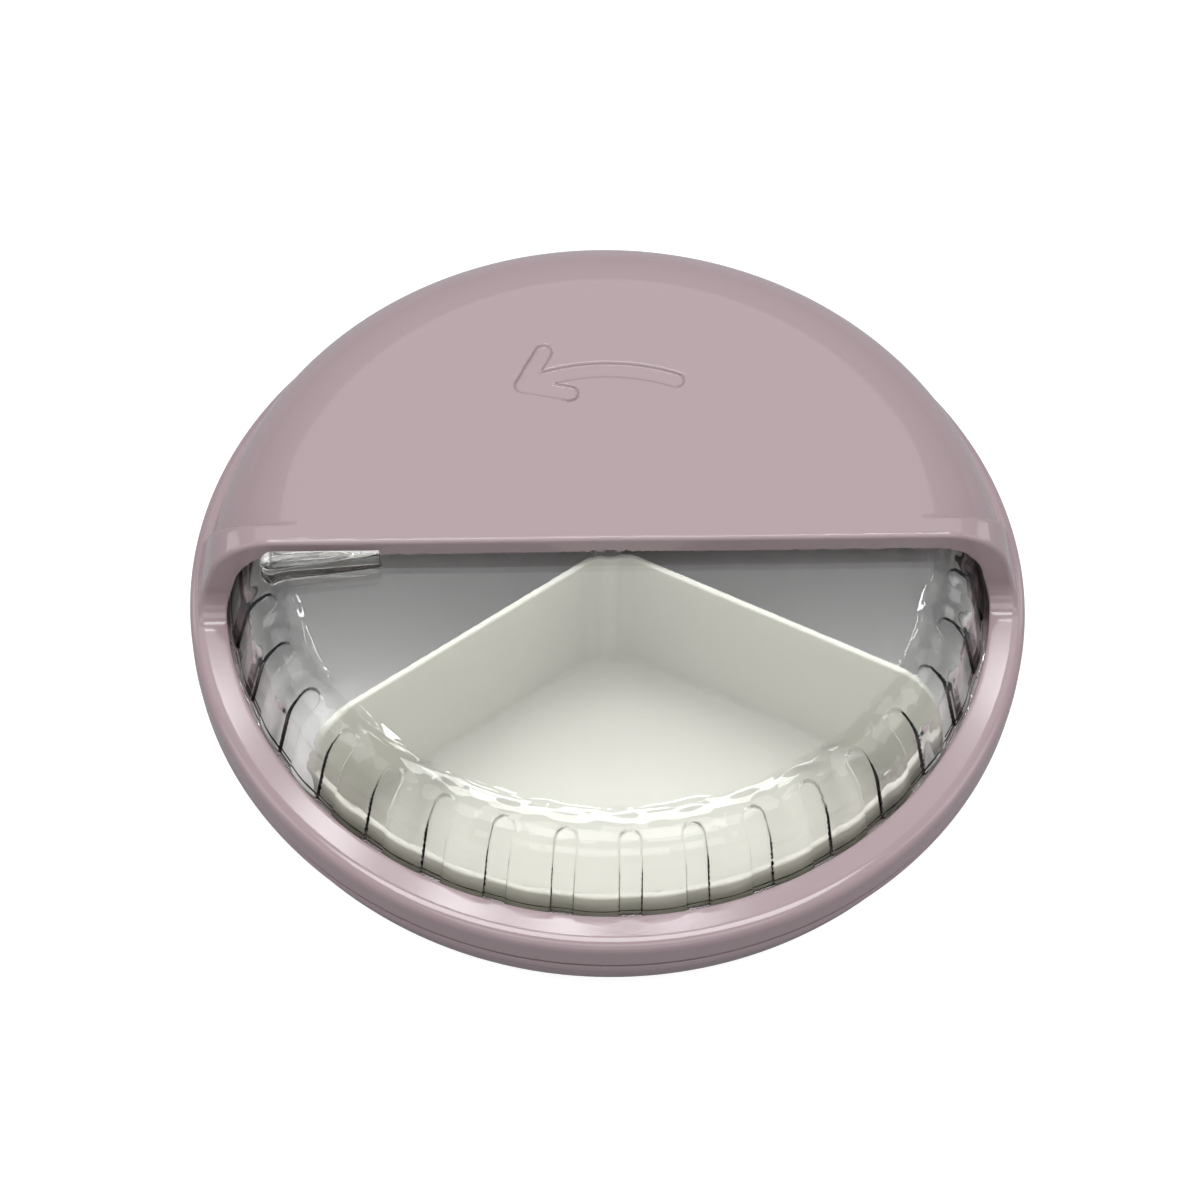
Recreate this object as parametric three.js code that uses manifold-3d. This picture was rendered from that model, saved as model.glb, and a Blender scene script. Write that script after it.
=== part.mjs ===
// A round snack box with a turning lid: a base bowl, a tray with three bays, a lift-out cup in the
// front bay, and a lid whose clear half-dome door slides round under a hood. Millimetres, +Z up.
// The origin is the middle of the underside. The door's axis is +Z, and the hood is towards +Y.
import * as THREE from 'three';
import { mergeVertices } from 'three/addons/utils/BufferGeometryUtils.js';
import Module from 'manifold-3d';

const wasm = await Module();
wasm.setup();

// Driving dimensions
const RADIUS = 80;            // the lid's flange, the widest circle
const HEIGHT = 46;            // the table to the top of the hood
const RING_TOP = 25.5;        // top face of the ring round the window
const WINDOW_R = 73;          // inner edge of that ring
const LIP_Y = -4.3;           // front face of the hood's lip
const DOOR_TOP = 41.5;
const CUP_RIM = 38.5;
const GAP = 0.3;              // between pieces that touch
const TURN = 60;              // flats round a full turn
const WALL_DRAFT = 0.24;      // outward run per unit of drop on the door's and cup's side walls

// Base bowl
const BASE_R = 78.1;
const BASE_CORNER = 16;
const BASE_WALL = 1.8;
const BASE_RIM_Z = 22.3;
const LEDGE = { r: 79.8, top: 18.6, low: 17.2 };  // the shoulder that the lid's skirt stops above
const SPIGOT_WALL = 1.2;      // the thin rim that enters the lid's channel
const SPIGOT_Z = 19.9;
const FOOT_R = 54;
const FOOT_RECESS = 0.6;

// Tray
const TRAY_R = 72;            // inside radius of the bays
const TRAY_RIM_Z = 19.6;
const TRAY_WALL = 1.3;
const TRAY_CORNER = 9;
const TRAY_FLOOR = 3.5;
const TRAY_FLANGE_R = 76;
const DIVIDER_WALL = 1.6;
const POST_R = 2.9;
const POST_TOP = 35.5;
const POST_TURN = 24;         // flats round the post
const RIB = { from: 12, to: 58, height: 2 };  // the locating ribs beside the cup

// Cup
const CUP_WALL = 1.2;
const CUP_CORNER = 8;
const CUP_ROUND = 8.2;        // the side walls' top corner, inside the dome's
const CUP_FLOOR = 5;
const CUP_R = 69.2;
const CUP_OUTER_RIM_Z = 26;   // the low wall round the outside
const CUP_LEFT = 215.4;       // directions of its two side walls, degrees from +X
const CUP_RIGHT = 331.8;
const CUP_MIDDLE = (CUP_LEFT + CUP_RIGHT) / 2;
const CUP_APEX = 2.7;         // from the axis to the flat that cuts off the point

// Lid
const FLANGE_LOW = 19.5;
const FLANGE_ROUND = 1.9;
const HOOD = { topR: 56.7, round: 19.4, draft: 12, footR: 76.8, wall: 2 };
const BAND = { topR: 62.9, round: 13, draft: 15, footR: 78.5 };
const OPENING = { topR: 61, round: 10, draft: 14.5 };
const OVERLAP = 2;            // how far the hood runs on inside the band
const LIP_DEPTH = 2.6;
const LIP_LOW = 42;
const LIP_FILLET = 5.2;       // where the lip's face meets the ring's top
const BAND_TILT = 0.52;       // the band's rear edge runs back as it drops
const BAND_REAR_Y = 0.3;
const RIB_IN = 75.4;
const RIB_OUT = 76.6;
const RIB_LOW = 20;
const RING_UNDERSIDE = 24;
const SKIRT_IN = 78.5;
const BEAD = 0.5;             // the rib's inward bead, which the retaining ring snaps behind
const RETAINER_IN = 71;

// Door
const DOOR_WALL = 1.6;
const DOOR_REAR_Y = 3;
const DOOR_FLANGE_R = 75;
const DOOR_FLANGE_TOP = 23.6;
const DOOR_FLANGE_LOW = 22.2;
const SHOULDER_R = 59.9;      // where the flat top starts to curve down
const SHOULDER_ROUND = 10.4;
const FLUTE_PITCH = 10;       // degrees
const FLUTE_FIRST = 191.7;
const FLUTE_COUNT = 17;
const FLUTE_WIDTH = 4.1;
const FLUTE_DEPTH = 0.8;
const FLUTE_ARCH_R = 63.7;
const TAB = { inner: 43, outer: 65.3, height: 4.1, root: 1.2, width: 4.3, setback: 1.2 };
const SCOOP = { length: 8.5, width: 1.3, depth: 1.5, tilt: 6, inset: 9 };

// Turn arrow sunk into the hood
const ARROW = { radius: 36, width: 3.4, depth: 0.5, from: 68, to: 116, barb: 9, spread: 38 };

const rad = THREE.MathUtils.degToRad;
const point = (x, y) => new THREE.Vector2(x, y);

// A manifold from a three.js geometry, with shared corners merged and its faces pointing out.
function solid(geometry) {
  const g = geometry.clone();
  g.deleteAttribute('normal');
  g.deleteAttribute('uv');
  const merged = mergeVertices(g, 1e-4);
  const index = merged.index.array;
  const faces = [];
  for (let i = 0; i < index.length; i += 3) {
    const [a, b, c] = [index[i], index[i + 1], index[i + 2]];
    if (a !== b && b !== c && c !== a) faces.push(a, b, c);
  }
  const build = (list) => new wasm.Manifold(new wasm.Mesh({
    numProp: 3,
    vertProperties: new Float32Array(merged.attributes.position.array),
    triVerts: new Uint32Array(list),
  }));
  const made = build(faces);
  return made.volume() > 0 ? made : build(faces.reverse());
}

// Points of an arc in a profile, angles in degrees.
function arc(cx, cy, r, from, to, steps) {
  return Array.from({ length: steps + 1 }, (_, i) => {
    const a = rad(from + (to - from) * i / steps);
    return point(cx + r * Math.cos(a), cy + r * Math.sin(a));
  });
}

// A full turn of a profile of (radius, height) points about Z.
function revolve(profile, segments = TURN) {
  const closed = [...profile, profile[0]];
  return solid(new THREE.LatheGeometry(closed, segments).rotateX(Math.PI / 2));
}

function ring(inner, outer, low, high, segments = TURN) {
  return revolve([point(inner, low), point(outer, low), point(outer, high), point(inner, high)], segments);
}

// A plan outline of (x, y) points, raised from low to high.
function prism(outline, low, high) {
  const g = new THREE.ExtrudeGeometry(new THREE.Shape(outline), { depth: high - low, bevelEnabled: false });
  return solid(g.translate(0, 0, low));
}

// A side outline of (y, z) points, run along X from x0 to x1.
function sideways(outline, x0, x1) {
  const g = new THREE.ExtrudeGeometry(new THREE.Shape(outline), { depth: x1 - x0, bevelEnabled: false });
  const axes = new THREE.Matrix4().makeBasis(
    new THREE.Vector3(0, 1, 0), new THREE.Vector3(0, 0, 1), new THREE.Vector3(1, 0, 0));
  return solid(g.applyMatrix4(axes).translate(x0, 0, 0));
}

function box(x0, x1, y0, y1, z0, z1) {
  const g = new THREE.BoxGeometry(x1 - x0, y1 - y0, z1 - z0);
  return solid(g.translate((x0 + x1) / 2, (y0 + y1) / 2, (z0 + z1) / 2));
}

function mesh(name, manifold, material) {
  const data = manifold.getMesh();
  const geometry = new THREE.BufferGeometry();
  geometry.setAttribute('position', new THREE.BufferAttribute(new Float32Array(data.vertProperties), 3));
  geometry.setIndex(Array.from(data.triVerts));
  geometry.computeVertexNormals();
  const made = new THREE.Mesh(geometry, material);
  made.name = name;
  return made;
}

// The plan of a sector between two directions, its sides moved inwards by inset.
function sector(from, to, inset, reach) {
  const half = rad((to - from) / 2);
  const middle = rad((to + from) / 2);
  const apex = inset / Math.sin(half);
  const corner = (side) => {
    const a = middle + side * half;
    return point(
      apex * Math.cos(middle) + reach * Math.cos(a),
      apex * Math.sin(middle) + reach * Math.sin(a),
    );
  };
  return [
    point(apex * Math.cos(middle), apex * Math.sin(middle)),
    corner(-1),
    point(reach * 2 * Math.cos(middle), reach * 2 * Math.sin(middle)),
    corner(1),
  ];
}

// The half-plane beyond a distance from the axis, along a direction.
function beyond(direction, distance) {
  const g = new THREE.BoxGeometry(2 * RADIUS, 4 * RADIUS, 2 * HEIGHT);
  g.translate(RADIUS + distance, 0, HEIGHT / 2);
  return solid(g.rotateZ(rad(direction)));
}

// Profile of what stands under the dome: a flat top, a rounded corner and a drafted side down to low.
function underDome(top, centreR, round, low) {
  const draft = THREE.MathUtils.radToDeg(Math.atan(WALL_DRAFT));
  const curve = arc(centreR, top - round, round, 90, draft, 5);
  const end = curve[curve.length - 1];
  return [...curve, point(end.x + (end.y - low) * WALL_DRAFT, low)];
}

function baseShell() {
  const centre = BASE_R - BASE_CORNER;
  const inner = BASE_CORNER - BASE_WALL;
  return revolve([
    point(0, FOOT_RECESS),
    point(FOOT_R, FOOT_RECESS),
    point(FOOT_R + FOOT_RECESS, 0),
    ...arc(centre, BASE_CORNER, BASE_CORNER, -90, 0, 5),
    point(LEDGE.r, LEDGE.low),
    point(LEDGE.r, LEDGE.top),
    point(BASE_R, LEDGE.top),
    point(BASE_R, BASE_RIM_Z),
    point(BASE_R - SPIGOT_WALL, BASE_RIM_Z),
    point(BASE_R - SPIGOT_WALL, SPIGOT_Z),
    point(BASE_R - BASE_WALL, SPIGOT_Z - 1),
    ...arc(centre, BASE_CORNER, inner, 0, -90, 5),
    point(0, BASE_WALL),
  ]);
}

// Three bays: the cup's, in front, and two open ones that a divider parts behind the centre post.
function innerTray() {
  const floorLow = TRAY_FLOOR - TRAY_WALL;
  const outR = TRAY_R + TRAY_WALL;
  const centre = TRAY_R - TRAY_CORNER;
  const bowl = revolve([
    point(0, floorLow),
    ...arc(centre, floorLow + TRAY_CORNER + TRAY_WALL, TRAY_CORNER + TRAY_WALL, -90, 0, 4),
    point(outR, TRAY_RIM_Z - TRAY_WALL),
    point(TRAY_FLANGE_R, TRAY_RIM_Z - TRAY_WALL),
    point(TRAY_FLANGE_R, TRAY_RIM_Z),
    point(TRAY_R, TRAY_RIM_Z),
    ...arc(centre, TRAY_FLOOR + TRAY_CORNER, TRAY_CORNER, 0, -90, 4),
    point(0, TRAY_FLOOR),
  ]);
  const root = TRAY_WALL / 2;     // how far the walls are sunk into the bowl that they join
  const footZ = TRAY_FLOOR - root;
  const post = revolve([
    point(0, footZ),
    point(POST_R, footZ),
    point(POST_R, POST_TOP - 1),
    point(POST_R - 1, POST_TOP),
    point(0, POST_TOP),
  ], POST_TURN);
  const side = underDome(CUP_RIM, SHOULDER_R, CUP_ROUND, TRAY_RIM_Z - root);
  const inside = revolve([
    point(0, footZ),
    ...arc(centre, TRAY_FLOOR + TRAY_CORNER, TRAY_CORNER + root, -90, 0, 4),
    point(TRAY_R + root, TRAY_RIM_Z - root),
    ...side.reverse(),
    point(0, CUP_RIM),
  ]);
  const plate = solid(new THREE.BoxGeometry(RADIUS, DIVIDER_WALL, HEIGHT)
    .translate(RADIUS / 2 + 1, 0, HEIGHT / 2)
    .rotateZ(rad(CUP_MIDDLE - 180)));
  const rib = (direction, across) => {
    const g = new THREE.BoxGeometry(RIB.to - RIB.from, DIVIDER_WALL, RIB.height + root);
    g.translate((RIB.from + RIB.to) / 2, across, footZ + (RIB.height + root) / 2);
    return solid(g.rotateZ(rad(direction)));
  };
  const beside = DIVIDER_WALL / 2 + 2 * GAP;
  return bowl
    .add(post)
    .add(plate.intersect(inside))
    .add(rib(CUP_LEFT, -beside))
    .add(rib(CUP_RIGHT, beside));
}

// A sector bowl with tall side walls that follow the dome, and a low wall round the outside.
function frontCup() {
  const floorLow = CUP_FLOOR - CUP_WALL;
  const side = underDome(CUP_RIM, SHOULDER_R, CUP_ROUND, CUP_OUTER_RIM_Z);
  const outline = revolve([
    point(0, floorLow),
    ...arc(CUP_R - CUP_CORNER, floorLow + CUP_CORNER, CUP_CORNER, -90, 0, 4),
    ...side.reverse(),
    point(0, CUP_RIM),
  ]);
  const innerR = CUP_R - CUP_WALL;
  const hollow = revolve([
    point(0, CUP_FLOOR),
    ...arc(innerR - CUP_CORNER, CUP_FLOOR + CUP_CORNER, CUP_CORNER, -90, 0, 4),
    point(innerR, CUP_OUTER_RIM_Z),
    point(RADIUS, CUP_OUTER_RIM_Z),
    point(RADIUS, HEIGHT),
    point(0, HEIGHT),
  ]);
  const notch = POST_R + GAP;
  const body = outline
    .intersect(prism(sector(CUP_LEFT, CUP_RIGHT, GAP, RADIUS), 0, HEIGHT))
    .intersect(beyond(CUP_MIDDLE, CUP_APEX))
    .subtract(ring(0, notch, 0, HEIGHT, POST_TURN));
  const space = hollow
    .intersect(prism(sector(CUP_LEFT, CUP_RIGHT, GAP + CUP_WALL, RADIUS), 0, 2 * HEIGHT))
    .intersect(beyond(CUP_MIDDLE, CUP_APEX + CUP_WALL))
    .subtract(ring(0, notch + CUP_WALL, 0, HEIGHT, POST_TURN));
  return body.subtract(space);
}

// The band's or the hood's outside: a flat top, a rounded corner and a drafted side, down to the flange.
function dome({ topR, round, draft, footR }) {
  return revolve([
    point(0, FLANGE_LOW),
    point(footR, FLANGE_LOW),
    point(footR, RING_TOP - 1),
    ...arc(topR, HEIGHT - round, round, draft, 90, 5),
    point(0, HEIGHT),
  ]);
}

// A curved arrow, sunk into the hood, that shows which way the door goes.
function turnArrow() {
  const { radius, width, depth, from, to, barb, spread } = ARROW;
  const roundEnd = (x, y) => solid(new THREE.CylinderGeometry(width / 2, width / 2, 2 * depth, 10)
    .rotateX(Math.PI / 2)
    .translate(x, y, HEIGHT));
  const at = (direction, r) => [r * Math.cos(rad(direction)), r * Math.sin(rad(direction))];
  const wedge = [point(0, 0), point(...at(from, 2 * radius)), point(...at(to, 2 * radius))];
  const shaft = ring(radius - width / 2, radius + width / 2, HEIGHT - depth, HEIGHT + depth)
    .intersect(prism(wedge, 0, 2 * HEIGHT));
  const [tipX, tipY] = at(to, radius);
  const stroke = (side) => {
    const direction = to - 90 + side * spread;
    const [dx, dy] = at(direction, barb);
    const bar = new THREE.BoxGeometry(barb, width, 2 * depth).translate(barb / 2, 0, 0);
    bar.rotateZ(rad(direction)).translate(tipX, tipY, HEIGHT);
    return solid(bar).add(roundEnd(tipX + dx, tipY + dy));
  };
  return shaft
    .add(roundEnd(...at(from, radius)))
    .add(roundEnd(tipX, tipY))
    .add(stroke(1))
    .add(stroke(-1));
}

function coverShell() {
  // Behind a plane that leans back as it drops, the outside is the rounder hood. In front of it is
  // the band, which stands proud of the hood at the sides and ends in the lip's upright face.
  const above = HEIGHT + 5;
  const bandRear = (z) => BAND_REAR_Y + (HEIGHT - z) * BAND_TILT;
  const behind = (forward) => sideways([
    point(bandRear(above) - forward, above),
    point(bandRear(0) - forward, 0),
    point(2 * RADIUS, 0),
    point(2 * RADIUS, above),
  ], -2 * RADIUS, 2 * RADIUS);
  const behindLip = sideways([
    point(LIP_Y, above),
    point(LIP_Y, RING_TOP + LIP_FILLET),
    ...arc(LIP_Y - LIP_FILLET, RING_TOP + LIP_FILLET, LIP_FILLET, 0, -90, 5),
    point(-2 * RADIUS, RING_TOP),
    point(-2 * RADIUS, 0),
    point(RADIUS, 0),
    point(RADIUS, above),
  ], -2 * RADIUS, 2 * RADIUS);
  const hood = dome(HOOD).intersect(behind(OVERLAP));
  const band = dome(BAND).intersect(behindLip).subtract(behind(0));
  const flange = revolve([
    point(0, FLANGE_LOW),
    point(RADIUS - GAP, FLANGE_LOW),
    point(RADIUS, FLANGE_LOW + GAP),
    ...arc(RADIUS - FLANGE_ROUND, RING_TOP - FLANGE_ROUND, FLANGE_ROUND, 0, 90, 3),
    point(0, RING_TOP),
  ]);
  // The opening under the lip follows the band's curve. The hood's room behind it is higher and wider.
  const opening = revolve([
    point(0, 0),
    point(WINDOW_R, 0),
    point(WINDOW_R, RING_TOP),
    ...arc(OPENING.topR, LIP_LOW - OPENING.round, OPENING.round, OPENING.draft, 90, 5),
    point(0, LIP_LOW),
  ]);
  const window = opening.add(ring(0, WINDOW_R, 0, above)
    .intersect(box(-2 * RADIUS, 2 * RADIUS, -2 * RADIUS, LIP_Y, RING_TOP, 2 * HEIGHT)));
  const innerRound = HOOD.round - HOOD.wall;
  const room = revolve([
    point(0, 0),
    point(RIB_IN, 0),
    point(RIB_IN, RING_UNDERSIDE),
    ...arc(HOOD.topR, HEIGHT - HOOD.round, innerRound, HOOD.draft, 90, 5),
    point(0, HEIGHT - HOOD.wall),
  ]).intersect(box(-RADIUS, RADIUS, LIP_Y + LIP_DEPTH, RADIUS, 0, HEIGHT));
  const underRing = ring(0, RIB_IN, 0, RING_UNDERSIDE);
  const underRib = ring(0, SKIRT_IN, 0, RIB_LOW);
  const channel = ring(RIB_OUT, SKIRT_IN, 0, RING_UNDERSIDE);
  const rib = ring(RIB_IN, RIB_OUT, RIB_LOW, RING_UNDERSIDE + BEAD);
  const bead = revolve([
    point(RIB_IN + 0.2, RIB_LOW),
    point(RIB_IN + 0.2, RIB_LOW + 0.9),
    point(RIB_IN - BEAD, RIB_LOW + 0.6),
    point(RIB_IN - BEAD, RIB_LOW + 0.3),
  ]);
  return flange
    .add(band)
    .add(hood)
    .subtract(window)
    .subtract(room)
    .subtract(underRing)
    .subtract(underRib)
    .subtract(channel)
    .add(rib)
    .add(bead)
    .subtract(turnArrow());
}

function spinDoor() {
  const top = underDome(DOOR_TOP, SHOULDER_R, SHOULDER_ROUND, DOOR_FLANGE_TOP);
  const under = underDome(DOOR_TOP - DOOR_WALL, SHOULDER_R, SHOULDER_ROUND - DOOR_WALL, DOOR_FLANGE_TOP);
  const wallFoot = under.at(-1).x;
  const skin = revolve([...top, ...under.reverse(), point(0, DOOR_TOP - DOOR_WALL), point(0, DOOR_TOP)])
    .intersect(box(-RADIUS, RADIUS, -RADIUS, DOOR_REAR_Y, 0, HEIGHT));
  const rearHalf = box(-RADIUS, RADIUS, DOOR_REAR_Y, RADIUS, 0, HEIGHT);
  const track = ring(wallFoot, DOOR_FLANGE_R, DOOR_FLANGE_LOW, DOOR_FLANGE_TOP)
    .subtract(ring(0, wallFoot + 1, 0, HEIGHT).intersect(rearHalf));
  // Each flute is a shallow slot down the shoulder with a round inner end: an upright slot-shaped
  // cutter, kept clear of a smaller dome so that it only bites FLUTE_DEPTH deep.
  const kept = revolve([point(0, 0), point(RADIUS, 0),
    ...underDome(DOOR_TOP - FLUTE_DEPTH, SHOULDER_R, SHOULDER_ROUND - FLUTE_DEPTH, 0).reverse(),
    point(0, DOOR_TOP - FLUTE_DEPTH)]);
  const half = FLUTE_WIDTH / 2;
  const slot = [
    ...arc(FLUTE_ARCH_R + half, 0, half, 270, 90, 4),
    point(RADIUS, half),
    point(RADIUS, -half),
  ];
  let door = skin.add(track);
  for (let i = 0; i < FLUTE_COUNT; i++) {
    const g = new THREE.ExtrudeGeometry(new THREE.Shape(slot), { depth: HEIGHT, bevelEnabled: false });
    const cutter = solid(g.translate(0, 0, DOOR_FLANGE_TOP).rotateZ(rad(FLUTE_FIRST + i * FLUTE_PITCH)));
    door = door.subtract(cutter.subtract(kept));
  }
  return door.add(thumbTab());
}

// A raised block at the door's left end, wider and round at its outer end, that a thumb pushes.
function thumbTab() {
  const back = LIP_Y - TAB.setback;
  const roundR = TAB.width / 2;
  const outline = [point(-TAB.inner, back), point(-TAB.outer + roundR, back),
    ...arc(-TAB.outer + roundR, back - roundR, roundR, 90, 270, 6), point(-TAB.inner, back - TAB.root)];
  const block = prism(outline, DOOR_TOP - 0.5 * DOOR_WALL, DOOR_TOP + TAB.height);
  const scoop = solid(new THREE.SphereGeometry(1, 12, 8)
    .scale(SCOOP.length, SCOOP.width, SCOOP.depth)
    .rotateZ(rad(SCOOP.tilt))
    .translate(SCOOP.inset - TAB.outer, back - roundR, DOOR_TOP + TAB.height + GAP));
  return block.subtract(scoop);
}

function retainingRing() {
  return ring(RETAINER_IN, RIB_IN - GAP, RIB_LOW + 0.9, DOOR_FLANGE_LOW - GAP);
}

function lidSeal() {
  return ring(RIB_OUT + GAP, SKIRT_IN - GAP, BASE_RIM_Z + GAP, RING_UNDERSIDE - GAP);
}

const plastic = (color, roughness) => new THREE.MeshStandardMaterial({ color, roughness, metalness: 0 });
const dustyPink = plastic(0xb79da2, 0.35);
const grey = plastic(0xa9a8aa, 0.5);
const cream = plastic(0xe6e5d8, 0.45);
const clear = new THREE.MeshStandardMaterial({
  color: 0xf4f6f4, roughness: 0.05, metalness: 0, transparent: true, opacity: 0.35,
});
const silicone = plastic(0xe9e6e1, 0.7);

const snackBox = new THREE.Group();
snackBox.add(mesh('base_shell', baseShell(), dustyPink));
snackBox.add(mesh('inner_tray', innerTray(), grey));
snackBox.add(mesh('front_cup', frontCup(), cream));
snackBox.add(mesh('cover_shell', coverShell(), dustyPink));
snackBox.add(mesh('spin_door', spinDoor(), clear));
snackBox.add(mesh('door_retaining_ring', retainingRing(), dustyPink));
snackBox.add(mesh('lid_seal', lidSeal(), silicone));

export default snackBox;
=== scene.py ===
"""A round snack box with a turning lid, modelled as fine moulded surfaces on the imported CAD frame.

Each moulding is written as a field, a function that is negative inside the plastic and grows by
about 1 for each millimetre outwards. surface() turns a field into a mesh whose points lie on it.
Fields and profiles are in millimetres, and the meshes are in metres, in the frame's own axes.
"""
import math

import bmesh
import bpy
import numpy as np
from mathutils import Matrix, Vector

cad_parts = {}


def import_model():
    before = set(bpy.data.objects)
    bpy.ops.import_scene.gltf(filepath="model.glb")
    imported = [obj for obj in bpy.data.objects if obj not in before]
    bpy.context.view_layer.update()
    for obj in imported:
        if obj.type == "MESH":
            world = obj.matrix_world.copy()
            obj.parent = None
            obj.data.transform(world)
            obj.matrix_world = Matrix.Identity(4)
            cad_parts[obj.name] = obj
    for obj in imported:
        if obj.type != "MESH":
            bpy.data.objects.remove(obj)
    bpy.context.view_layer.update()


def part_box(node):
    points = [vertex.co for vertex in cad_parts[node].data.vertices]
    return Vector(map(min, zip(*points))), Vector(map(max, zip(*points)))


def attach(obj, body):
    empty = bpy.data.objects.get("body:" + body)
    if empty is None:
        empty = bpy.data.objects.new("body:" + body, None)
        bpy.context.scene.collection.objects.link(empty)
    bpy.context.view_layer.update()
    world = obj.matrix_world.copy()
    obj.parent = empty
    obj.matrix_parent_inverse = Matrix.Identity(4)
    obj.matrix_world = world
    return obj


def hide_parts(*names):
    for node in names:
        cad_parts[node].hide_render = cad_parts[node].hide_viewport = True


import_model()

MM = 0.001


def corners(node):
    """The lowest and highest corners of a CAD node, in millimetres."""
    return [[value / MM for value in corner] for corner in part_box(node)]


COVER_LOW, COVER_HIGH = corners("cover_shell")
BASE_LOW, BASE_HIGH = corners("base_shell")
TRAY_LOW, TRAY_HIGH = corners("inner_tray")
CUP_LOW, CUP_HIGH = corners("front_cup")
DOOR_LOW, DOOR_HIGH = corners("spin_door")
RETAINER_LOW, RETAINER_HIGH = corners("door_retaining_ring")
SEAL_LOW, SEAL_HIGH = corners("lid_seal")

# A dome below is (radius where its flat top ends, radius of its shoulder, draft of its wall in degrees).

# Lid
RADIUS = COVER_HIGH[0]
HEIGHT = COVER_HIGH[2]
FLANGE_LOW = COVER_LOW[2]
RIB_LOW = FLANGE_LOW + 0.5
RING_TOP = FLANGE_LOW + 6
RING_ROUND = 1.9              # of the ring's outer top edge
RING_UNDERSIDE = RING_TOP - 1.5
WINDOW_R = RADIUS - 7
HOOD_DOME = (RADIUS - 23.3, 19.4, 12)
HOOD_WALL = 2
BAND_DOME = (RADIUS - 17.1, 13, 15)
BAND_REAR_Y = 0.3
BAND_TILT = 0.52              # the band's rear edge runs back as it drops
BAND_OVERLAP = 2              # how far the hood runs on into the band
LIP_Y = -4.3                  # front face of the hood's lip
LIP_DEPTH = 2.6
LIP_LOW = HEIGHT - 4.2
LIP_FILLET = 5.2              # where the lip's face meets the ring
LIP_ROUND = 0.8
LIP_BLEND = 4                 # behind the lip's face, where the window's edge turns into the lip's underside
UNDER_LIP_DOME = (RADIUS - 19, 10, 14.5)
HOOD_ROOT = RING_TOP - 3      # the hood and the band start inside the ring
RIB_IN, RIB_OUT, SKIRT_IN = RADIUS - 4.6, RADIUS - 3.4, RADIUS - 1.5
BEAD_R = 0.5                  # along the rib's lower edge
ARROW = dict(radius=36, width=3.4, depth=0.5, start=68, end=116, barb=9, spread=38)

# Door
TAB_HEIGHT = 4.1
DOOR_TOP = DOOR_HIGH[2] - TAB_HEIGHT
DOOR_WALL = 1.6
DOOR_REAR_Y = 3
DOOR_FLANGE = (RADIUS - 9.3, DOOR_HIGH[0], DOOR_LOW[2], DOOR_LOW[2] + 1.4)
SHOULDER_R = RADIUS - 20.1
SHOULDER_ROUND = 10.4
WALL_DRAFT = 13.5
DOOR_DOME = (SHOULDER_R, SHOULDER_ROUND, WALL_DRAFT)
DOOR_INNER_DOME = (SHOULDER_R, SHOULDER_ROUND - DOOR_WALL, WALL_DRAFT)
FLUTES = dict(first=191.7, pitch=10, count=17, width=4.1, depth=0.48, arch=SHOULDER_R + 3.8)
FLUTE_STEP = 0.18             # half the width of a flute's steep side
FLUTE_SAG = dict(depth=0.3, reach=3.6)     # a gentler dip that runs on round each flute
FLOW = dict(depth=0.02, start=SHOULDER_R - 0.9, end=SHOULDER_R + 8.1, per_mm=2.6, bend=2.5, slow=17, fast=41)
TAB = dict(inner=RADIUS - 37, outer=RADIUS - 14.7, root=1.2, width=4.3, back=LIP_Y - 1.2)
TAB_BOWL = dict(inset=8.5, shift=0.2, lift=0.3, half_length=8, half_width=1.25, depth=1.1, turn=5)

# Cup and tray
CUP_RIM = CUP_HIGH[2]
CUP_WALL = 1.2
CUP_SIDES = (215.4, 331.8)    # directions of its side walls, degrees from +X
CUP_MIDDLE = sum(CUP_SIDES) / 2
CUP_R = RADIUS - 10.8
CUP_OUTER_RIM = 26
CUP_APEX = 2.7
CUP_CORNER = 8                # where the outer wall meets the floor
CUP_DOME = (SHOULDER_R, 8.2, WALL_DRAFT)
POST_R = 2.9
POST_TOP = CUP_RIM - 3
TRAY_R = RADIUS - 8
TRAY_WALL = 1.3
TRAY_FLOOR = TRAY_LOW[2] + TRAY_WALL
TRAY_TOP = TRAY_FLOOR + 16.1
TRAY_CORNER = 9
TRAY_ROOT = TRAY_LOW[2] + 0.6              # the post, divider and ribs start inside the floor
DIVIDER_HALF = 0.8
TRAY_RIBS = dict(offset=1.4, half=0.8, height=2, start=12, end=58)
GAP = 0.3

# Base
AXIS_GAP = 0.02               # how near the axis its profile comes
BASE_CORNER = 16
BASE_WALL = 1.8
FOOT_IN, FOOT_RECESS = 54, 0.6
LEDGE_TOP = FLANGE_LOW - 0.9
LEDGE_LOW = LEDGE_TOP - 1.4
LEDGE_WIDTH = 1.7
SPIGOT_WALL, SPIGOT_HEIGHT = 1.2, 2.4      # the thin rim that enters the lid's channel

# Rings
RETAINER_WIDTH = 4.1
SEAL_WIDTH = 1.3


# Fields. A last argument of both(), either() or without() is the rounding of the edge between them.

def both(a, b, r=0.0):
    """Where both fields are negative, with the edge between them rounded to radius r."""
    if not r:
        return np.maximum(a, b)
    return np.minimum(np.maximum(a, b), -r) + np.hypot(np.maximum(a + r, 0), np.maximum(b + r, 0))


def either(a, b, r=0.0):
    """Where either field is negative, with a fillet of radius r in the corner between them."""
    return -both(-a, -b, r)


def without(a, b, r=0.0):
    """Field a less field b, with the edge rounded to radius r."""
    return both(a, -b, r)


def between(value, low, high):
    return np.maximum(value - high, low - value)


def eased(share):
    """0 to 1 with a smooth start and end."""
    share = np.clip(share, 0, 1)
    return share * share * (3 - 2 * share)


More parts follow.
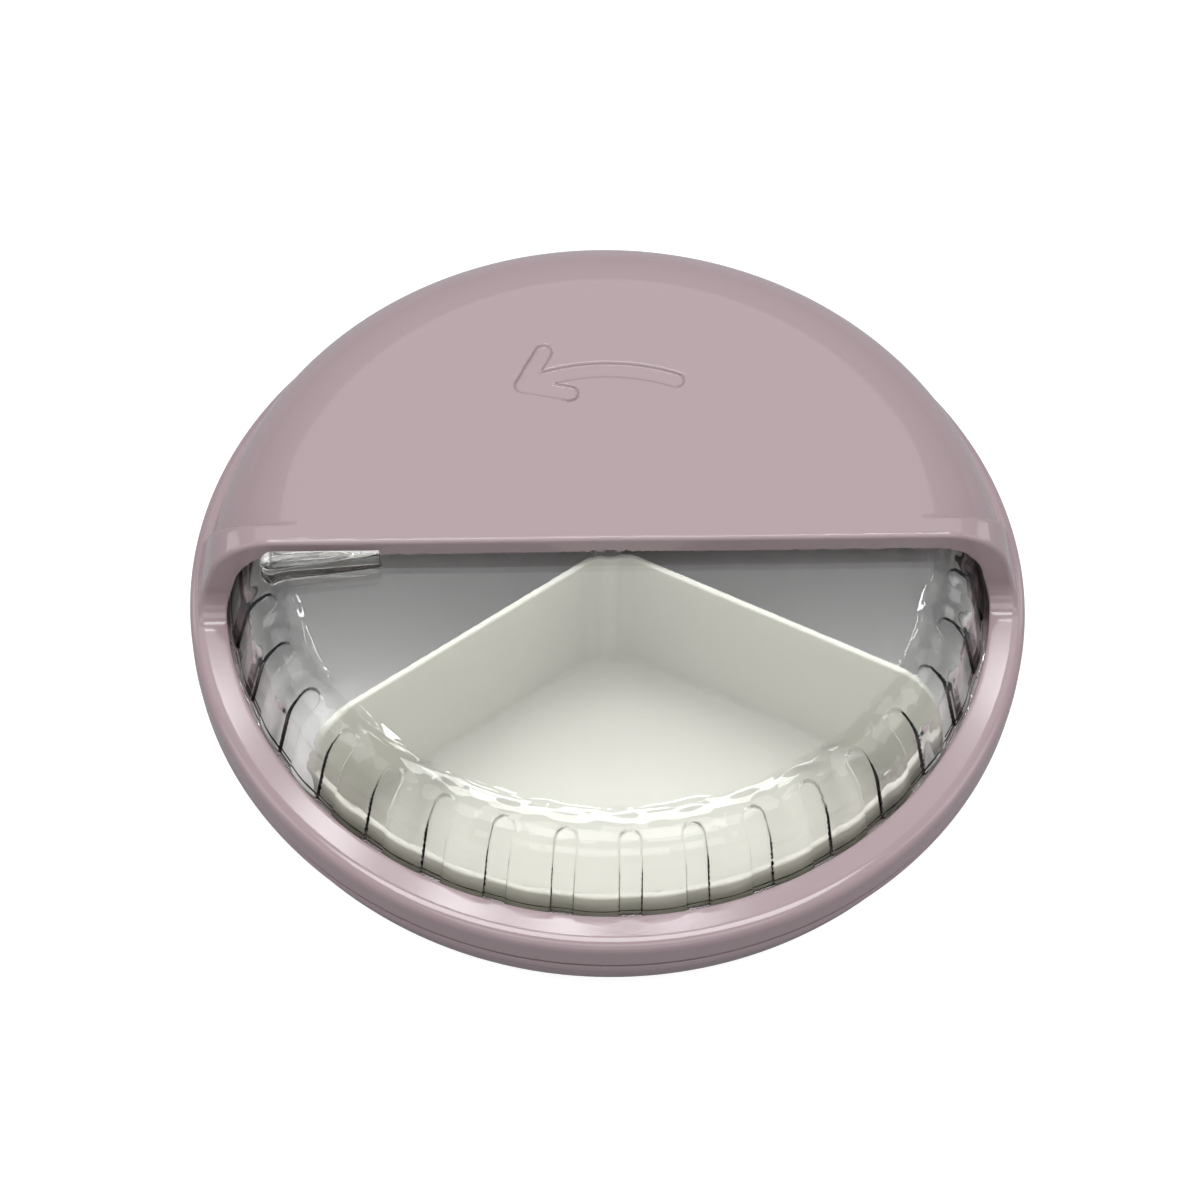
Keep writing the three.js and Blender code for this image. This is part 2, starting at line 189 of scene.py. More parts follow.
def dome(x, y, z, top, centre, radius, draft):
    """Under a flat top that turns down round an arc about centre to a wall with that draft."""
    out = np.hypot(x, y) - centre
    up = z - (top - radius)
    slope = math.radians(draft)
    wall = out * math.cos(slope) + up * math.sin(slope) - radius
    field = np.where(out <= 0, up - radius, np.hypot(out, up) - radius)
    return np.where(up < out * math.tan(slope), wall, field)


def toward(x, y, direction):
    """Distance along a direction in plan, and distance to the left of it."""
    a = math.radians(direction)
    return x * math.cos(a) + y * math.sin(a), y * math.cos(a) - x * math.sin(a)


def arrow(x, y, z):
    """A curved arrow, sunk into the hood's top."""
    half = ARROW["width"] / 2
    radius = ARROW["radius"]
    reach = np.hypot(x, y)
    middle = (ARROW["start"] + ARROW["end"]) / 2
    along, across = toward(x, y, middle)
    turn = np.degrees(np.arctan2(across, along))
    span = (ARROW["end"] - ARROW["start"]) / 2
    nearest = np.radians(np.clip(turn, -span, span))
    plan = np.hypot(along - radius * np.cos(nearest), across - radius * np.sin(nearest)) - half
    plan = np.where(reach < 1, radius, plan)      # the turn is undefined at the axis
    tip = math.radians(ARROW["end"])
    tip_x, tip_y = radius * math.cos(tip), radius * math.sin(tip)
    for side in (-1, 1):
        along, across = toward(x - tip_x, y - tip_y, ARROW["end"] - 90 + side * ARROW["spread"])
        barb = np.hypot(along - np.clip(along, 0, ARROW["barb"]), across) - half
        plan = np.minimum(plan, barb)
    return both(plan, HEIGHT - ARROW["depth"] - z, 0.3)


def cover_solid(x, y, z, reach):
    """The lid before it is hollowed: the hood, the band with its lip, and the ring with its skirt."""
    behind = (y - BAND_REAR_Y - (HEIGHT - z) * BAND_TILT) / math.hypot(1, BAND_TILT)
    behind_lip = either(LIP_Y - y, z - RING_TOP, LIP_FILLET)
    band = both(dome(x, y, z, HEIGHT, *BAND_DOME), behind_lip, LIP_ROUND)
    band = both(band, behind, 0.5)
    hood = both(dome(x, y, z, HEIGHT, *HOOD_DOME), -behind - BAND_OVERLAP)
    flange = both(both(z - RING_TOP, reach - RADIUS, RING_ROUND), FLANGE_LOW - z, 0.3)
    solid = either(flange, np.maximum(band, HOOD_ROOT - z), 0.3)
    solid = either(solid, np.maximum(hood, HOOD_ROOT - z), 0.6)
    return np.maximum(solid, between(z, FLANGE_LOW, HEIGHT))


def cover_window(x, y, z, reach):
    """The round opening in the ring, which runs on under the lip."""
    under_lip = dome(x, y, z, LIP_LOW, *UNDER_LIP_DOME)
    share = np.clip((y - LIP_Y) / LIP_BLEND + 1, 0, 1)
    return (reach - WINDOW_R) * (1 - share) + under_lip * share


def cover_room(x, y, z, reach):
    """The space inside the hood."""
    centre, shoulder, draft = HOOD_DOME
    room = dome(x, y, z, HEIGHT - HOOD_WALL, centre, shoulder - HOOD_WALL, draft)
    return both(both(room, LIP_Y + LIP_DEPTH - y, 0.8), reach - RIB_IN)


def cover_rib(z, reach):
    """The rib between the seal's channel and the door's track, with a bead along its lower edge."""
    rib = both(between(reach, RIB_IN, RIB_OUT), between(z, RIB_LOW, RING_UNDERSIDE + 0.5), 0.2)
    bead = np.hypot(reach - RIB_IN, z - RIB_LOW - BEAD_R) - BEAD_R
    return np.minimum(rib, bead)


def cover(x, y, z):
    """The lid's one moulding: hood, band, lip, ring and skirt."""
    reach = np.hypot(x, y)
    track = np.maximum(reach - RIB_IN, z - RING_UNDERSIDE)
    channel = both(between(reach, RIB_OUT, SKIRT_IN), z - RING_UNDERSIDE, 0.4)
    below_rib = np.maximum(reach - SKIRT_IN, z - RIB_LOW)
    shell = cover_solid(x, y, z, reach)
    shell = without(shell, cover_window(x, y, z, reach), 0.35)
    shell = without(shell, cover_room(x, y, z, reach), 0.3)
    shell = without(without(shell, track), below_rib)
    shell = without(shell, channel, 0.2)
    shell = either(shell, cover_rib(z, reach), 0.15)
    return without(shell, arrow(x, y, z), 0.25)


def flow(reach, angle):
    """Faint ripples that the plastic left round the door's shoulder as it filled the mould. They grow
    over their first 2 mm and fade over their last 3 mm."""
    turn = np.radians(angle)
    bend = FLOW["bend"] * np.sin(turn * FLOW["slow"]) + np.sin(turn * FLOW["fast"])
    wave = 1 + np.sin(FLOW["per_mm"] * reach + bend)
    share = eased((reach - FLOW["start"]) / 2) * eased((FLOW["end"] - reach) / 3)
    return FLOW["depth"] * wave * share


def fluted(x, y, z):
    """The door's outside: a dome whose shoulder has shallow flutes with round inner ends."""
    angle = np.degrees(np.arctan2(y, x)) % 360
    number = np.clip(np.round((angle - FLUTES["first"]) / FLUTES["pitch"]), 0, FLUTES["count"] - 1)
    offset = np.radians(angle - FLUTES["first"] - number * FLUTES["pitch"])
    reach = np.hypot(x, y)
    half = FLUTES["width"] / 2
    short = np.minimum(reach * np.cos(offset) - FLUTES["arch"] - half, 0)
    slot = np.hypot(short, reach * np.sin(offset)) - half
    sunk = FLUTES["depth"] * eased(0.5 - slot / (2 * FLUTE_STEP))
    sag = FLUTE_SAG["depth"] * eased(1 - slot / FLUTE_SAG["reach"])
    return dome(x, y, z, DOOR_TOP, *DOOR_DOME) + sunk + sag + flow(reach, angle)


def tab(x, y, z):
    """The thumb tab: a tapered block, round at its outer end, with a long hollow in its top."""
    length = TAB["outer"] - TAB["inner"]
    top = DOOR_TOP + TAB_HEIGHT
    half = TAB["width"] / 2
    along = (-TAB["inner"] - x) / length
    taper = np.clip(along * 1.1, 0, 1)      # full width just before its outer end
    front = TAB["back"] - TAB["root"] - taper * (TAB["width"] - TAB["root"])
    plan = np.maximum(y - TAB["back"], front - y)
    over = np.maximum(-TAB["outer"] + half - x, 0)
    round_end = np.hypot(over, y - TAB["back"] + half) - half
    plan = np.where(over > 0, round_end, np.maximum(plan, x + TAB["inner"]))
    block = both(plan, z - top, 0.5)
    block = np.maximum(block, DOOR_TOP - DOOR_WALL / 2 - z)
    long, wide = TAB_BOWL["half_length"], TAB_BOWL["half_width"]
    middle_x, middle_y = TAB_BOWL["inset"] - TAB["outer"], TAB["back"] - half + TAB_BOWL["shift"]
    along, across = toward(x - middle_x, y - middle_y, TAB_BOWL["turn"])
    deep = (z - top - TAB_BOWL["lift"]) / TAB_BOWL["depth"]
    bowl = np.sqrt((along / long) ** 2 + (across / wide) ** 2 + deep ** 2) - 1
    return without(block, bowl * wide, 0.25)


def door(x, y, z):
    """The clear half dome, its tab, and the round flange that it slides on."""
    reach = np.hypot(x, y)
    inner = dome(x, y, z, DOOR_TOP - DOOR_WALL, *DOOR_INNER_DOME)
    skin = without(fluted(x, y, z), inner)
    skin = both(skin, y - DOOR_REAR_Y, 0.35)
    foot_in, foot_out, foot_low, foot_high = DOOR_FLANGE
    skin = np.maximum(skin, foot_low - z)
    inner_edge = np.where(y > DOOR_REAR_Y, foot_in + 1, foot_in - 0.6)      # further in under the wall
    track = both(both(reach - foot_out, inner_edge - reach, 0.2), between(z, foot_low, foot_high), 0.3)
    track = np.maximum(track, -inner)
    return either(either(skin, track, 0.3), tab(x, y, z), 0.35)


def sector(x, y, inset):
    """Between the cup's two side directions, each side moved inwards by inset."""
    along, across = toward(x, y, CUP_MIDDLE)
    half = math.radians(CUP_SIDES[1] - CUP_SIDES[0]) / 2
    left = across * math.cos(half) - along * math.sin(half) + inset
    right = -across * math.cos(half) - along * math.sin(half) + inset
    return both(both(left, right, 0.8), CUP_APEX + inset - GAP - along, 0.8)


def cup(x, y, z):
    """The sector cup, open at the top, whose sides curve down with the door to a lower outer wall."""
    reach = np.hypot(x, y)
    wall = GAP + CUP_WALL
    floor_top = CUP_LOW[2] + CUP_WALL
    outside = dome(x, y, z, CUP_RIM, *CUP_DOME)
    outside = both(outside, both(reach - CUP_R, CUP_LOW[2] - z, CUP_CORNER))
    outside = both(both(outside, sector(x, y, GAP)), CUP_LOW[2] - z, 0.8)
    outside = np.maximum(outside, POST_R + GAP - reach)
    space = both(reach - CUP_R + CUP_WALL, floor_top - z, CUP_CORNER)
    space = np.minimum(space, np.maximum(CUP_OUTER_RIM - z, floor_top - z))
    space = both(both(space, sector(x, y, wall)), floor_top - z, 1.6)
    space = np.maximum(space, POST_R + wall - reach)
    return without(outside, space, 0.4)


def tray(x, y, z):
    """The liner: a bowl with a flat rim, a centre post, a rear divider and a low rib by each cup side."""
    reach = np.hypot(x, y)
    outside = both(reach - TRAY_R - TRAY_WALL, TRAY_LOW[2] - z, TRAY_CORNER + TRAY_WALL)
    rim = both(reach - TRAY_HIGH[0], between(z, TRAY_TOP - TRAY_WALL, TRAY_TOP), 0.3)
    inside = both(reach - TRAY_R, TRAY_FLOOR - z, TRAY_CORNER)
    bowl = without(both(either(outside, rim, 0.4), z - TRAY_TOP), inside, 0.3)
    post = both(both(reach - POST_R, z - POST_TOP, 0.8), TRAY_ROOT - z)
    along, across = toward(x, y, CUP_MIDDLE - 180)
    under_dome = dome(x, y, z, CUP_RIM, *CUP_DOME)
    divider = both(both(np.abs(across) - DIVIDER_HALF, under_dome, 0.4), -along)
    divider = np.maximum(divider, np.maximum(outside + TRAY_WALL / 2, TRAY_ROOT - z))
    parts = either(bowl, np.minimum(post, divider), 0.8)
    for direction, side in zip(CUP_SIDES, (-1, 1)):
        along, across = toward(x, y, direction)
        rib = np.abs(across - side * TRAY_RIBS["offset"]) - TRAY_RIBS["half"]
        rib = both(rib, z - TRAY_FLOOR - TRAY_RIBS["height"], 0.4)
        rib = both(rib, between(along, TRAY_RIBS["start"], TRAY_RIBS["end"]), 0.5)
        parts = either(parts, np.maximum(rib, TRAY_ROOT - z), 0.4)
    return parts


# Meshes

def planes(*spans):
    """Grid planes along an axis from (start, end, step) spans that follow each other."""
    made = [np.linspace(a, b, round((b - a) / step) + 1)[:-1] for a, b, step in spans]
    return np.concatenate(made + [[spans[-1][1]]])


def slope_of(field, points, h=0.01):
    """The field's gradient at each point."""
    made = np.empty_like(points)
    for k in range(3):
        shift = np.zeros(3)
        shift[k] = h
        made[:, k] = (field(*(points + shift).T) - field(*(points - shift).T)) / (2 * h)
    return made


def straight(x, y, z):
    return x, y, z


def polar(reach, degrees, z):
    return reach * np.cos(np.radians(degrees)), reach * np.sin(np.radians(degrees)), z


def crossing_points(value, cells, grid, place):
    """For each cell, the middle of the points where the surface crosses its edges."""
    total = np.zeros((len(cells), 3))
    count = np.zeros((len(cells), 1))
    for k in range(3):
        for corner in np.ndindex(2, 2, 2):
            if corner[k]:
                continue
            near = cells + corner
            far = near.copy()
            far[:, k] += 1
            a, b = value[tuple(near.T)], value[tuple(far.T)]
            crossed = (a < 0) != (b < 0)
            share = np.where(crossed, a / np.where(crossed, a - b, 1), 0)[:, None]
            start, end = (np.stack(place(*(grid[m][c[:, m]] for m in range(3))), 1) for c in (near, far))
            total += np.where(crossed[:, None], start + share * (end - start), 0)
            count += crossed[:, None]
    return total / count


def settled(field, points, rounds=4, longest=0.4):
    """Points moved along the field's slope until they lie on the surface."""
    for _ in range(rounds):
        slope = slope_of(field, points)
        steep = np.maximum((slope ** 2).sum(1), 0.05)
        move = -(field(*points.T) / steep)[:, None] * slope
        length = np.linalg.norm(move, axis=1, keepdims=True)
        points = points + move * np.minimum(1, longest / np.maximum(length, 1e-9))
    return points


def crossing_quads(inside, number, turn):
    """A quad round each grid edge that the surface crosses. Axis turn joins up with itself."""
    quads = []
    for k in range(3):
        low = np.take(inside, range(inside.shape[k] - 1), k)
        high = np.take(inside, range(1, inside.shape[k]), k)
        edges = np.argwhere(low != high)
        across = ((k + 1) % 3, (k + 2) % 3)
        for m in across:
            first = 0 if m == turn else 1
            edges = edges[(edges[:, m] >= first) & (edges[:, m] < inside.shape[m] - 1)]
        ring = []
        for back in ((0, 0), (1, 0), (1, 1), (0, 1)):
            cell = edges.copy()
            cell[:, across] -= back
            ring.append(number[tuple(cell.T)])
        faces = np.stack(ring, 1)
        outward = low[tuple(edges.T)]
        quads.append(np.where(outward[:, None], faces, faces[:, ::-1]))
    return np.concatenate(quads)


def surface(name, field, *grid, place=straight):
    """A closed mesh of where the field is zero: one point in each grid cell that the surface
    crosses, moved onto the surface, and a quad round each grid edge that it crosses. A polar grid
    has planes of radius, degrees and height, and joins up with itself after a full turn."""
    value = field(*place(*np.meshgrid(*grid, indexing="ij")))
    inside = value < 0
    filled = np.zeros([len(a) - 1 for a in grid], dtype=np.int8)
    for corner in np.ndindex(2, 2, 2):
        filled += inside[tuple(slice(c, c + n) for c, n in zip(corner, filled.shape))]
    cells = np.argwhere((filled > 0) & (filled < 8))
    number = np.full(filled.shape, -1)
    number[tuple(cells.T)] = np.arange(len(cells))
    points = settled(field, crossing_points(value, cells, grid, place))
    made = piece(name, points * MM, crossing_quads(inside, number, 1 if place is polar else None))
    if place is polar:
        close_axis(made.data)
    shade_by(field, made.data)
    return made


def shade_by(field, mesh):
    """Takes the mesh's shading normals from the field itself."""
    points = np.empty(len(mesh.vertices) * 3)
    mesh.vertices.foreach_get("co", points)
    slope = slope_of(field, points.reshape(-1, 3) / MM)
    normals = slope / np.maximum(np.linalg.norm(slope, axis=1, keepdims=True), 1e-9)
    mesh.normals_split_custom_set_from_vertices(normals.tolist())


def close_axis(mesh, merge=0.08 * MM):
    """Joins the crowded points near a polar grid's axis, and fills the small holes that it leaves."""
    work = bmesh.new()
    work.from_mesh(mesh)
    bmesh.ops.remove_doubles(work, verts=work.verts, dist=merge)
    open_edges = [edge for edge in work.edges if edge.is_boundary]
    filled = bmesh.ops.holes_fill(work, edges=open_edges, sides=0)["faces"]
    for face in filled:
        face.smooth = True
    work.to_mesh(mesh)
    work.free()


def piece(name, points, faces):
    """A smooth-shaded mesh object from arrays."""
    mesh = bpy.data.meshes.new(name)
    mesh.vertices.add(len(points))
    mesh.vertices.foreach_set("co", np.asarray(points, dtype=np.float32).ravel())
    size = faces.shape[1]
    mesh.loops.add(faces.size)
    mesh.loops.foreach_set("vertex_index", faces.astype(np.int32).ravel())
    mesh.polygons.add(len(faces))
    mesh.polygons.foreach_set("loop_start", np.arange(len(faces), dtype=np.int32) * size)
    mesh.polygons.foreach_set("use_smooth", np.ones(len(faces), dtype=bool))
    mesh.update(calc_edges=True)
    mesh.validate()
    made = bpy.data.objects.new(name, mesh)
    bpy.context.scene.collection.objects.link(made)
    return made


def arc(cx, cy, r, start, end, steps):
    """Points along an arc, from start to end degrees."""
    angles = np.radians(np.linspace(start, end, steps + 1))
    return [(cx + r * math.cos(a), cy + r * math.sin(a)) for a in angles]


def held(profile, gap=0.25):
    """A closed profile with a point near each end of its long straight runs, so that smooth
    shading stays flat along them."""
    made = []
    for (x0, z0), (x1, z1) in zip(profile, profile[1:] + profile[:1]):
        made.append((x0, z0))
        length = math.hypot(x1 - x0, z1 - z0)
        if length > 4 * gap:
            for share in (gap / length, 1 - gap / length):
                made.append((x0 + (x1 - x0) * share, z0 + (z1 - z0) * share))
    return made


def revolved(name, profile, around=240):
    """A closed (radius, height) profile turned about Z. It doesn't touch the axis."""
    section = np.array(held(profile))
    n = len(section)
    turns = np.radians(np.arange(around) * 360 / around)
    x = np.outer(np.cos(turns), section[:, 0])
    y = np.outer(np.sin(turns), section[:, 0])
    z = np.broadcast_to(section[:, 1], (around, n))
    points = np.stack([x, y, z], -1).reshape(-1, 3)
    i, j = np.meshgrid(np.arange(around), np.arange(n), indexing="ij")
    i, j = i.ravel(), j.ravel()
    ni, nj = (i + 1) % around, (j + 1) % n
    faces = np.stack([i * n + j, ni * n + j, ni * n + nj, i * n + nj], 1)
    return piece(name, points * MM, faces)


def base():
    """The bowl, with a foot ring, a ledge, a thin rim that enters the lid's channel, and a hollow inside."""
    low, rim, ledge = BASE_LOW[2], BASE_HIGH[2], BASE_HIGH[0]
    outer = ledge - LEDGE_WIDTH
    centre = outer - BASE_CORNER
    shoulder = rim - SPIGOT_HEIGHT
    profile = [
        (AXIS_GAP, low + FOOT_RECESS), (FOOT_IN, low + FOOT_RECESS), (FOOT_IN + FOOT_RECESS, low),
        *arc(centre, BASE_CORNER, BASE_CORNER, -90, 0, 24),
        *arc(ledge - 0.4, LEDGE_LOW + 0.1, 0.4, -45, 0, 3),
        *arc(ledge - 0.3, LEDGE_TOP - 0.3, 0.3, 0, 90, 4),
        (outer, LEDGE_TOP),
        *arc(outer - 0.3, rim - 0.3, 0.3, 0, 90, 3),
        *arc(outer - SPIGOT_WALL + 0.3, rim - 0.3, 0.3, 90, 180, 3),
        (outer - SPIGOT_WALL, shoulder), (outer - BASE_WALL, shoulder - 1),
        *arc(centre, BASE_CORNER, BASE_CORNER - BASE_WALL, 0, -90, 16),
        (AXIS_GAP, low + BASE_WALL),
    ]
    return revolved("base_bowl", profile)


def washer(name, low, high, width, r):
    """A ring of rectangular section, with its edges rounded to radius r."""
    outer = high[0]
    inner = outer - width
    profile = [
        *arc(inner + r, low[2] + r, r, 180, 270, 4),
        *arc(outer - r, low[2] + r, r, 270, 360, 4),
        *arc(outer - r, high[2] - r, r, 0, 90, 4),
        *arc(inner + r, high[2] - r, r, 90, 180, 4),
    ]
    return revolved(name, profile)


# Materials

class Shader:
    """A node material with one Principled shader."""

    def __init__(self, name, **values):
        self.material = bpy.data.materials.new(name)
        self.material.use_nodes = True
        self.tree = self.material.node_tree
        self.main = self.tree.nodes["Principled BSDF"]
        self.output = self.tree.nodes["Material Output"]
        self.place = self.node("ShaderNodeTexCoord").outputs["Object"]
        for socket, value in values.items():
            self.main.inputs[socket.replace("_", " ")].default_value = value

    def node(self, kind, **settings):
        made = self.tree.nodes.new(kind)
        for key, value in settings.items():
            if hasattr(made, key):
                setattr(made, key, value)
            else:
                made.inputs[key.replace("_", " ")].default_value = value
        return made

    def link(self, source, target):
        self.tree.links.new(source, target)

    def noise(self, per_metre, detail):
        made = self.node("ShaderNodeTexNoise", Scale=per_metre, Detail=detail, Roughness=0.5)
        self.link(self.place, made.inputs["Vector"])
        return made.outputs["Fac"]

    def spread(self, value, low, high):
        """A 0 to 1 pattern, whose middle half is most of it, spread from low to high."""
        made = self.node("ShaderNodeMapRange", From_Min=0.3, From_Max=0.7, To_Min=low, To_Max=high)
        self.link(value, made.inputs["Value"])
        return made.outputs["Result"]

    def colours(self, value, *stops):
        """Base colour from a 0 to 1 pattern, through (position, colour) stops."""
        ramp = self.node("ShaderNodeValToRGB")
        for element, (position, colour) in zip(ramp.color_ramp.elements, stops):
            element.position = position
            element.color = (*colour, 1)
        self.link(value, ramp.inputs["Fac"])
        self.link(ramp.outputs["Color"], self.main.inputs["Base Color"])

    def bump(self, height, depth_mm):
        made = self.node("ShaderNodeBump", Distance=depth_mm * MM, Strength=1.0)
        self.link(height, made.inputs["Height"])
        self.link(made.outputs["Normal"], self.main.inputs["Normal"])

    def sheen(self, value, low, high):
        """Roughness from a pattern."""
        self.link(self.spread(value, low, high), self.main.inputs["Roughness"])

    def mixed(self, share, first, second):
        """The first shader where share is 0 and the second where it is 1."""
        made = self.node("ShaderNodeMixShader")
        self.link(share, made.inputs["Fac"])
        self.link(first, made.inputs[1])
        self.link(second, made.inputs[2])
        return made.outputs["Shader"]


def srgb(r, g, b):
    """Linear colour from 0 to 255 display values."""
    return tuple(((v / 255 + 0.055) / 1.055) ** 2.4 if v > 10.3 else v / 255 / 12.92 for v in (r, g, b))


def moulded(name, light, dark, rough, wave_mm=0.01, **values):
    """Moulded plastic: faintly cloudy colour, uneven sheen and the slow waviness that cooling leaves."""
    s = Shader(name, **values)
    s.colours(s.noise(per_metre=22, detail=2), (0.35, dark), (0.65, light))
    s.sheen(s.noise(per_metre=40, detail=2), rough * 0.9, rough * 1.1)
    s.bump(s.noise(per_metre=40, detail=1), wave_mm)
    return s.material


def clear(name):
    """Clear polished plastic that lets lamps through to what is under it."""
    s = Shader(name, Base_Color=(0.96, 0.965, 0.945, 1), IOR=1.5, Transmission_Weight=1.0)
    s.sheen(s.noise(per_metre=90, detail=3), 0.0, 0.03)
    s.bump(s.noise(per_metre=45, detail=1), 0.004)
    through = s.node("ShaderNodeBsdfTransparent", Color=(0.965, 0.968, 0.96, 1)).outputs["BSDF"]
    shadow = s.node("ShaderNodeLightPath").outputs["Is Shadow Ray"]
    s.link(s.mixed(shadow, s.main.outputs["BSDF"], through), s.output.inputs["Surface"])
    return s.material


PINK = moulded("dusty_pink_plastic", srgb(151, 133, 137), srgb(150, 132, 136), 0.1)
GREY = moulded("grey_plastic", srgb(224, 223, 225), srgb(222, 221, 223), 0.42)
CREAM = moulded("cream_plastic", srgb(189, 188, 182), srgb(188, 187, 180), 0.36,
                Subsurface_Weight=0.7, Subsurface_Scale=0.004, Subsurface_Radius=(1, 1, 0.9))
SILICONE = moulded("seal_silicone", srgb(226, 222, 214), srgb(222, 218, 210), 0.6)
# Painted shade: a darker copy of the pink for the retaining ring, so that the gap between the ring and the
# door looks dark
PAINTED_SHADE_PINK = moulded("painted_shade_pink_plastic", srgb(96, 84, 84), srgb(95, 83, 83), 0.4)
CLEAR = clear("clear_plastic")


# Pieces. Each grid reaches past its piece, and is finest at thin walls, sharp curves and the flutes.

TRAY_GRID = (
    planes((-77, 77, 0.9)),
    planes((-77, 77, 0.9)),
    planes((1, 21, 0.7), (21, 39.5, 1.2)),
)
CUP_GRID = (
    planes((-62, 66, 0.55)),
    planes((-71, 1, 0.55)),
    planes((2.6, 39.6, 0.6)),
)
COVER_GRID = (
    planes((0, 30, 1.5), (30, 45, 0.5), (45, 55, 1), (55, RADIUS + 1, 0.5)),
    planes((0, 360, 0.8)),
    planes((FLANGE_LOW - 1, 27, 0.4), (27, 41, 0.7), (41, HEIGHT + 1, 0.4)),
)
DOOR_GRID = (
    planes((0, 42, 6), (42, 45, 0.5), (45, 59, 1), (59, 76, 0.35)),
    planes((0, 10, 0.5), (10, 170, 2), (170, 190, 0.3), (190, 355, 0.28), (355, 360, 0.5)),
    planes((21.2, 24, 0.35), (24, 38, 0.55), (38, 42, 0.3), (42, 47, 0.4)),
)


def add(made, material, body, node):
    made.data.materials.append(material)
    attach(made, body)
    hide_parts(node)


add(base(), PINK, "base", "base_shell")
add(surface("tray", tray, *TRAY_GRID), GREY, "base", "inner_tray")
add(surface("lift_out_cup", cup, *CUP_GRID), CREAM, "cup", "front_cup")
add(surface("lid_cover", cover, *COVER_GRID, place=polar),
    PINK, "cover", "cover_shell")
add(surface("turning_door", door, *DOOR_GRID, place=polar),
    CLEAR, "door", "spin_door")
# The retaining ring takes the darker pink, which paints the shade of the gap round the door
add(washer("door_retainer", RETAINER_LOW, RETAINER_HIGH, RETAINER_WIDTH, 0.2),
    PAINTED_SHADE_PINK, "cover", "door_retaining_ring")
add(washer("rim_seal", SEAL_LOW, SEAL_HIGH, SEAL_WIDTH, 0.35),
    SILICONE, "seal", "lid_seal")


# Stage, in metres

FLOOR_HOLE = 0.061            # hidden by the base's flat foot
FLOOR_EDGE = 5.0
FLOOR_DROP = 0.0002           # below the foot, so that the two don't share a plane
CAMERA = dict(place=(-0.02158, -0.41064, 0.61847), target=(-0.00221, -0.01475, DOOR_TOP * MM), roll=1.62)
CAMERA_LENS = 113


def aim(thing, place, target, roll=0.0):
    thing.location = place
    direction = Vector(target) - Vector(place)
    thing.rotation_euler = direction.to_track_quat("-Z", "Y").to_euler()
    thing.rotation_euler.rotate_axis("Z", math.radians(roll))


def floor_material():
    """White to the camera, grey to everything else, and nothing at all from below."""
    s = Shader("floor_white", Base_Color=(0.36, 0.36, 0.36, 1), Roughness=0.9, Specular_IOR_Level=0.1)
    matt = s.node("ShaderNodeBsdfDiffuse", Color=(0.3, 0.3, 0.3, 1))
    glow = s.node("ShaderNodeEmission", Color=(1, 1, 1, 1), Strength=0.88)
    bright = s.node("ShaderNodeAddShader")
    s.link(matt.outputs["BSDF"], bright.inputs[0])
    s.link(glow.outputs["Emission"], bright.inputs[1])
    seen = s.node("ShaderNodeLightPath").outputs["Is Camera Ray"]
    below = s.node("ShaderNodeNewGeometry").outputs["Backfacing"]
    nothing = s.node("ShaderNodeBsdfTransparent").outputs["BSDF"]
    top = s.mixed(seen, s.main.outputs["BSDF"], bright.outputs["Shader"])
    s.link(s.mixed(below, top, nothing), s.output.inputs["Surface"])
    return s.material


def floor(count=96):
    """A floor with a round hole under the object, which lets light reach its underside."""
    turns = [2 * math.pi * index / count for index in range(count)]
    points = [(size * math.cos(turn), size * math.sin(turn), 0)
              for size in (FLOOR_HOLE, FLOOR_EDGE) for turn in turns]
    faces = [(i, i + count, (i + 1) % count + count, (i + 1) % count) for i in range(count)]
    mesh = bpy.data.meshes.new("floor")
    mesh.from_pydata(points, [], faces)
    mesh.materials.append(floor_material())
    made = bpy.data.objects.new("floor", mesh)
    made.location.z = -FLOOR_DROP
    bpy.context.scene.collection.objects.link(made)


def lamp(name, place, size, watts, target=(0, 0, 0.03)):
    light = bpy.data.lights.new(name, "AREA")
    light.shape = "RECTANGLE"
    light.size, light.size_y = size
    light.energy = watts
    made = bpy.data.objects.new(name, light)
    bpy.context.scene.collection.objects.link(made)
    aim(made, place, target)


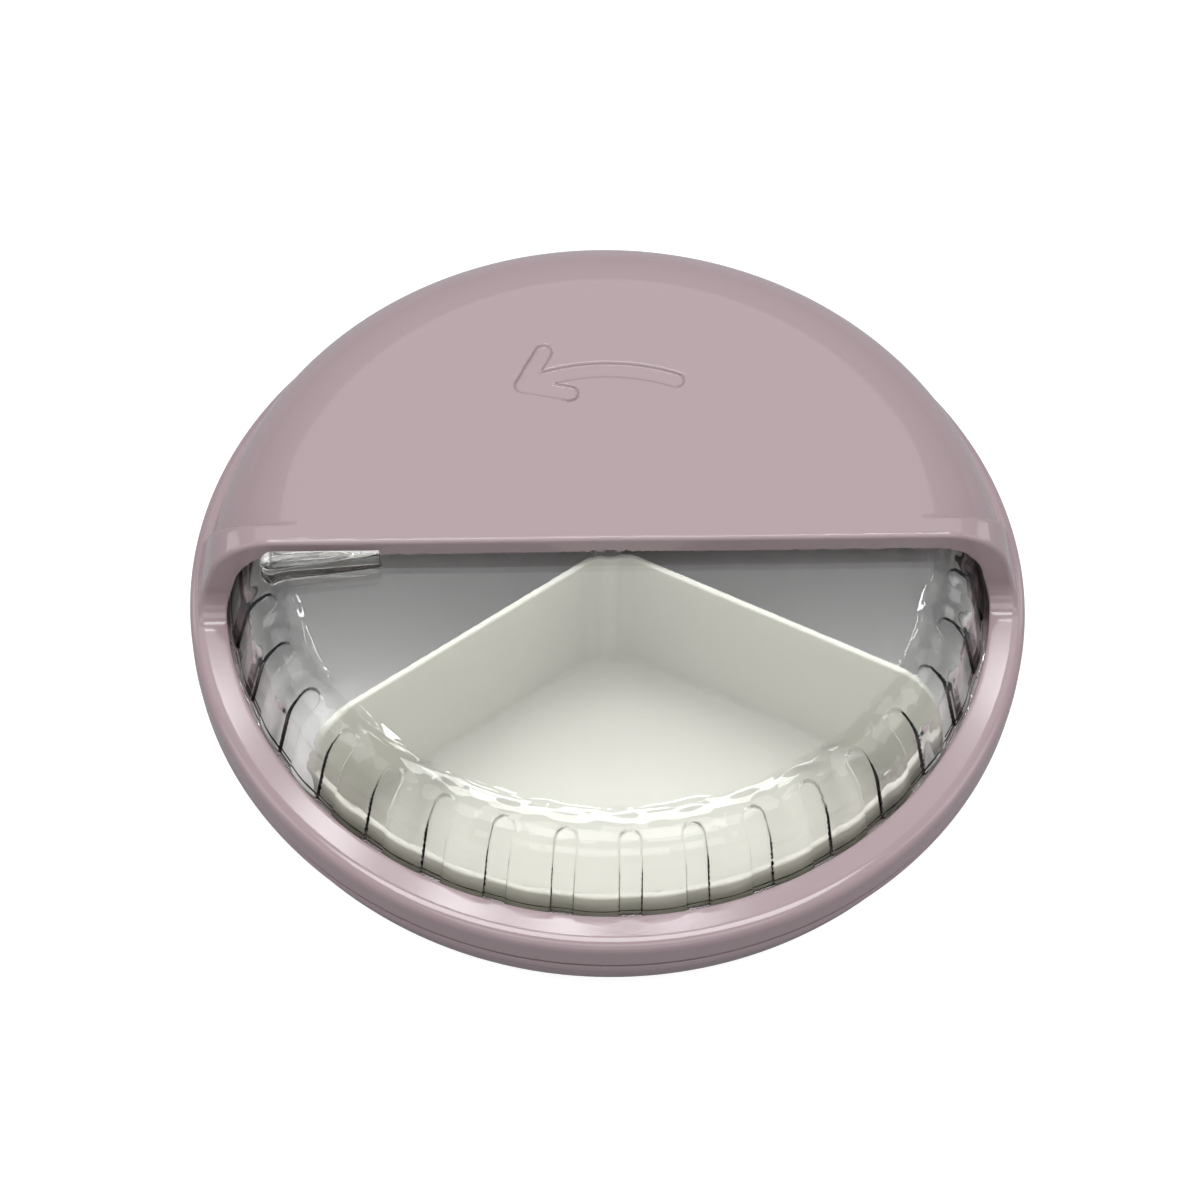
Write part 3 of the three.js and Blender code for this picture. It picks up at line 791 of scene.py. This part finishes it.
def lamps():
    """Soft boxes in front, overhead and at the sides, and a row of small panels that glint in the door."""
    lamp("overhead_softbox", (0, 0.2, 1.1), (0.6, 0.3), 4.6, target=(0, 0.2, 0))
    lamp("front_softbox", (0, -0.6, 1.1), (1.2, 0.5), 3.6)
    lamp("front_low_softbox", (0, -1.1, 0.55), (1.0, 0.3), 1.0)
    lamp("rear_panel", (0, 0.93, 1.12), (1.6, 0.78), 3.6, target=(0, 0.93, 0))
    for side, name in ((-1, "left"), (1, "right")):
        lamp(name + "_softbox", (side * 1.0, 0, 0.8), (0.5, 0.8), 1.9)
        lamp(name + "_strip", (side * 0.8, 0.45, 0.22), (0.16, 0.35), 0.3)
    for x, y in ((-0.158, 0.546), (-0.1, 0.48), (-0.04, 0.44), (0.007, 0.426), (0.06, 0.44), (0.222, 0.553)):
        lamp("spot_panel", (x, y, 0.915), (0.03, 0.03), 0.06)


def world(low, high):
    """A studio whose light grows from low, just below the horizon, to high overhead."""
    made = bpy.data.worlds.new("studio")
    made.use_nodes = True
    nodes, links = made.node_tree.nodes, made.node_tree.links
    place = nodes.new("ShaderNodeTexCoord")
    axes = nodes.new("ShaderNodeSeparateXYZ")
    rise = nodes.new("ShaderNodeMapRange")
    for socket, value in (("From Min", -0.1), ("From Max", 0.7), ("To Min", low), ("To Max", high)):
        rise.inputs[socket].default_value = value
    shade = nodes["Background"]
    shade.inputs["Color"].default_value = (0.97, 0.98, 1.0, 1)
    links.new(place.outputs["Generated"], axes.inputs["Vector"])
    links.new(axes.outputs["Z"], rise.inputs["Value"])
    links.new(rise.outputs["Result"], shade.inputs["Strength"])
    bpy.context.scene.world = made


def camera():
    """A long lens 700 mm away and 55 degrees up, a little left of the front."""
    data = bpy.data.cameras.new("camera")
    data.sensor_width = 36
    data.lens = CAMERA_LENS
    data.clip_end = 20
    made = bpy.data.objects.new("camera", data)
    bpy.context.scene.collection.objects.link(made)
    aim(made, **CAMERA)
    bpy.context.scene.camera = made


floor()
world(0.34, 0.66)
lamps()
camera()
bpy.context.scene.view_settings.view_transform = "Standard"
